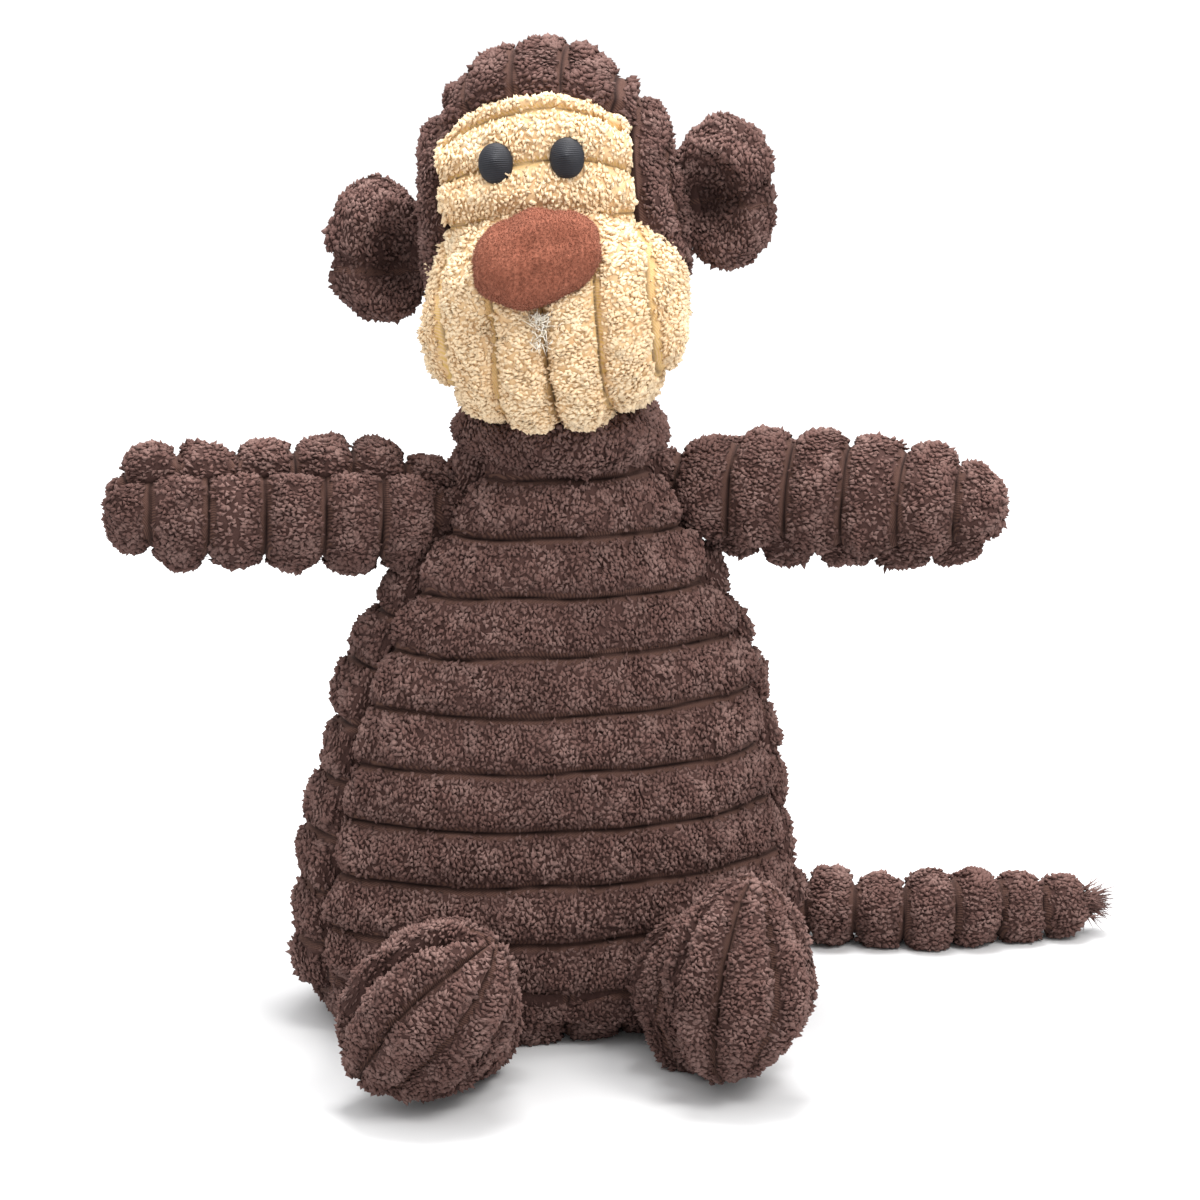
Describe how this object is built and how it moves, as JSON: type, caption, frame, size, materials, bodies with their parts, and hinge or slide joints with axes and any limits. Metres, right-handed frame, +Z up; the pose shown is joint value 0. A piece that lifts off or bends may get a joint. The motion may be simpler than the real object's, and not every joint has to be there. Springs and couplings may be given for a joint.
{
  "type": "stuffed monkey",
  "caption": "Sitting plush monkey in wide-wale ribbed fabric with a tan muzzle, floppy limbs and a beaded tail.",
  "frame": {"origin": "middle of the flat seat under the body, on the surface the toy sits on", "axes": "+Z up, -Y the way the belly faces, +X the toy's own left"},
  "size_m": [0.2432, 0.138, 0.2208],
  "materials": {
    "brown_plush": "wide-wale corduroy plush, knotted pile, matte",
    "tan_plush": "wide-wale corduroy plush, knotted pile, matte",
    "rust_velour": "short-pile velour",
    "black_thread": "satin-stitch embroidery, slight sheen",
    "fibrefill": "loose polyester wadding"
  },
  "bodies": {
    "body": {"body_front_panel": "brown_plush", "body_back_panel": "brown_plush", "body_base_panel": "brown_plush", "body_filling": "fibrefill"},
    "neck_collar": {"neck_band": "brown_plush"},
    "neck_core": {"neck_filling": "fibrefill"},
    "head": {"head_side_left": "brown_plush", "head_side_right": "brown_plush", "head_crown_panel": "brown_plush", "face_panel": "tan_plush", "head_filling": "fibrefill", "muzzle_upper_panel": "tan_plush", "muzzle_lower_left_panel": "tan_plush", "muzzle_lower_right_panel": "tan_plush", "muzzle_filling": "fibrefill", "nose": "rust_velour", "eye_left": "black_thread", "eye_right": "black_thread"},
    "tail_base": {"tail_base": "brown_plush"},
    "tail_middle": {"tail_middle": "brown_plush"},
    "tail_end": {"tail_end": "brown_plush", "tail_tuft": "brown_plush"},
    "ear_left": {"ear_left_front": "brown_plush", "ear_left_back": "brown_plush"},
    "shoulder_left": {"shoulder_left_filling": "fibrefill"},
    "arm_left": {"arm_left_front_panel": "brown_plush", "arm_left_back_panel": "brown_plush", "arm_left_filling": "fibrefill"},
    "hip_left": {"hip_left_filling": "fibrefill"},
    "leg_left": {"foot_left_sole_panel": "brown_plush", "foot_left_upper_panel": "brown_plush", "leg_left_filling": "fibrefill"},
    "ear_right": {"ear_right_front": "brown_plush", "ear_right_back": "brown_plush"},
    "shoulder_right": {"shoulder_right_filling": "fibrefill"},
    "arm_right": {"arm_right_front_panel": "brown_plush", "arm_right_back_panel": "brown_plush", "arm_right_filling": "fibrefill"},
    "hip_right": {"hip_right_filling": "fibrefill"},
    "leg_right": {"foot_right_sole_panel": "brown_plush", "foot_right_upper_panel": "brown_plush", "leg_right_filling": "fibrefill"}
  },
  "joints": [
    {"name": "neck_turn", "type": "hinge", "parent": "body", "child": "neck_collar", "pos_m": [0.004, 0.002, 0.1308], "axis": [0, 0, 1], "range_deg": [-20, 40], "stiffness_Nm_per_rad": 0.06},
    {"name": "neck_tilt", "type": "hinge", "parent": "neck_collar", "child": "neck_core", "pos_m": [0.004, 0.002, 0.1308], "axis": [0.2588, 0.9659, 0], "range_deg": [-12, 12], "stiffness_Nm_per_rad": 0.15},
    {"name": "head_nod", "type": "hinge", "parent": "neck_core", "child": "head", "pos_m": [0.004, 0.002, 0.1308], "axis": [0.9659, -0.2588, 0], "range_deg": [-15, 15], "stiffness_Nm_per_rad": 0.15},
    {"name": "ear_left_flop", "type": "hinge", "parent": "head", "child": "ear_left", "pos_m": [0.03317, -0.0043, 0.18807], "axis": [0.0926, -0.0248, -0.9954], "range_deg": [-30, 30], "stiffness_Nm_per_rad": 0.01},
    {"name": "ear_right_flop", "type": "hinge", "parent": "head", "child": "ear_right", "pos_m": [-0.02801, 0.01209, 0.17393], "axis": [-0.0926, 0.0248, 0.9954], "range_deg": [-30, 30], "stiffness_Nm_per_rad": 0.01},
    {"name": "shoulder_left_swing", "type": "hinge", "parent": "body", "child": "shoulder_left", "pos_m": [0.0458, 0.002, 0.118], "axis": [0, 0, -1], "range_deg": [-50, 30], "stiffness_Nm_per_rad": 0.05},
    {"name": "arm_left_raise", "type": "hinge", "parent": "shoulder_left", "child": "arm_left", "pos_m": [0.0458, 0.002, 0.118], "axis": [-0.342, -0.9397, 0], "range_deg": [-50, 35], "stiffness_Nm_per_rad": 0.05},
    {"name": "shoulder_right_swing", "type": "hinge", "parent": "body", "child": "shoulder_right", "pos_m": [-0.0392, 0.002, 0.118], "axis": [0, 0, 1], "range_deg": [-28, 52], "stiffness_Nm_per_rad": 0.05},
    {"name": "arm_right_raise", "type": "hinge", "parent": "shoulder_right", "child": "arm_right", "pos_m": [-0.0392, 0.002, 0.118], "axis": [0.0349, 0.9994, 0], "range_deg": [-50, 35], "stiffness_Nm_per_rad": 0.05},
    {"name": "hip_left_splay", "type": "hinge", "parent": "body", "child": "hip_left", "pos_m": [0.03, -0.0462, 0.0155], "axis": [0, 0, 1], "range_deg": [-15, 25], "stiffness_Nm_per_rad": 0.05},
    {"name": "leg_left_lift", "type": "hinge", "parent": "hip_left", "child": "leg_left", "pos_m": [0.03, -0.0462, 0.0155], "axis": [-1, 0, 0], "range_deg": [0, 45], "stiffness_Nm_per_rad": 0.05},
    {"name": "hip_right_splay", "type": "hinge", "parent": "body", "child": "hip_right", "pos_m": [-0.03, -0.0462, 0.0155], "axis": [0, 0, -1], "range_deg": [-15, 25], "stiffness_Nm_per_rad": 0.05},
    {"name": "leg_right_lift", "type": "hinge", "parent": "hip_right", "child": "leg_right", "pos_m": [-0.03, -0.0462, 0.0155], "axis": [-1, 0, 0], "range_deg": [0, 45], "stiffness_Nm_per_rad": 0.05},
    {"name": "tail_sweep", "type": "hinge", "parent": "body", "child": "tail_base", "pos_m": [0, 0.046, 0.0075], "axis": [0, 0, 1], "range_deg": [0, 160], "stiffness_Nm_per_rad": 0.01},
    {"name": "tail_lift", "type": "hinge", "parent": "tail_base", "child": "tail_middle", "pos_m": [0.05, 0.0385, 0.0075], "axis": [-0.2279, -0.9737, 0], "range_deg": [0, 45], "stiffness_Nm_per_rad": 0.01},
    {"name": "tail_curl", "type": "hinge", "parent": "tail_middle", "child": "tail_end", "pos_m": [0.097, 0.0275, 0.0075], "axis": [0, 0, 1], "range_deg": [-45, 45], "stiffness_Nm_per_rad": 0.006}
  ]
}
